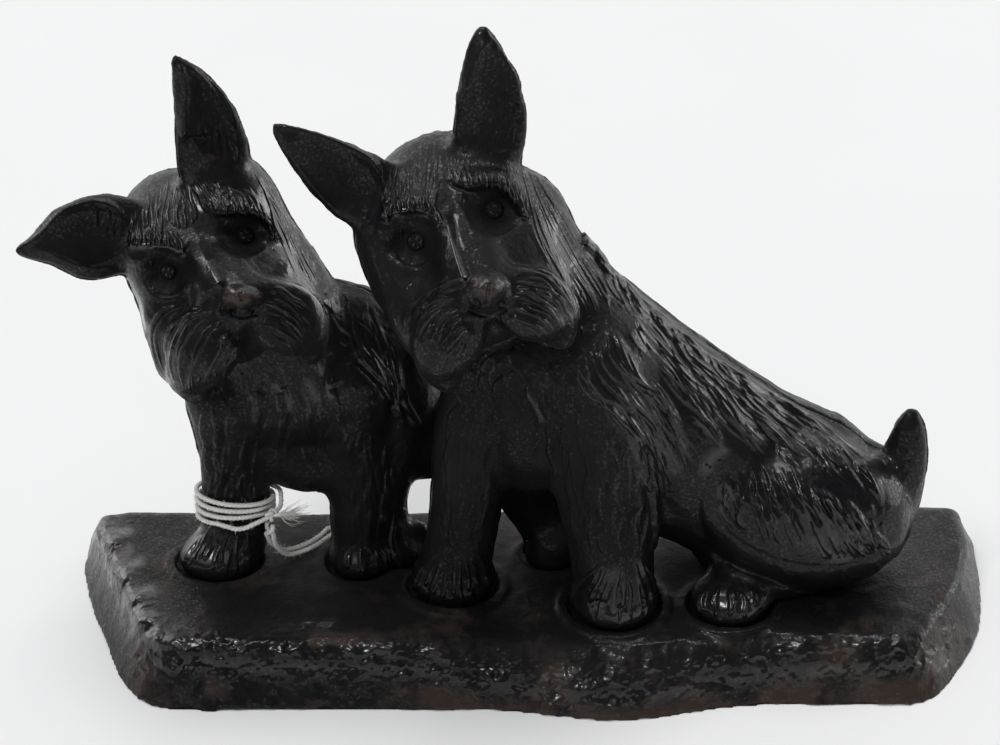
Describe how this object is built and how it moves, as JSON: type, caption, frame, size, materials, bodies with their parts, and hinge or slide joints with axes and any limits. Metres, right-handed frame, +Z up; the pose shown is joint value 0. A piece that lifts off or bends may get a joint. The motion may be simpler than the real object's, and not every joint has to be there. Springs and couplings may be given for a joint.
{
  "type": "doorstop",
  "caption": "Black cast-iron doorstop with a sitting and a standing terrier on a rocky base, and a cotton tag string on one foreleg.",
  "frame": {"origin": "on the floor, under the middle of the doorstop's width and depth", "axes": "+X along the base towards the sitting dog's tail (the viewer's right in the picture), +Y away from the viewer, +Z up"},
  "size_m": [0.2262, 0.0764, 0.159],
  "materials": {
    "iron": "worn gloss black paint",
    "steel": "dull, aged",
    "cotton": "twisted white cotton"
  },
  "bodies": {
    "root": {"base_casting": "iron", "sitting_dog_front": "iron", "sitting_dog_back": "iron", "standing_dog_front": "iron", "standing_dog_back": "iron", "sitting_dog_upper_screw": "steel", "sitting_dog_lower_screw": "steel", "standing_dog_upper_screw": "steel", "standing_dog_lower_screw": "steel", "sitting_right_forepaw_screw": "steel", "sitting_left_forepaw_screw": "steel", "sitting_rump_screw": "steel", "standing_right_forepaw_screw": "steel", "standing_left_forepaw_screw": "steel", "string_winding": "cotton", "string_knot": "cotton", "string_loop": "cotton", "string_end": "cotton"}
  },
  "joints": []
}
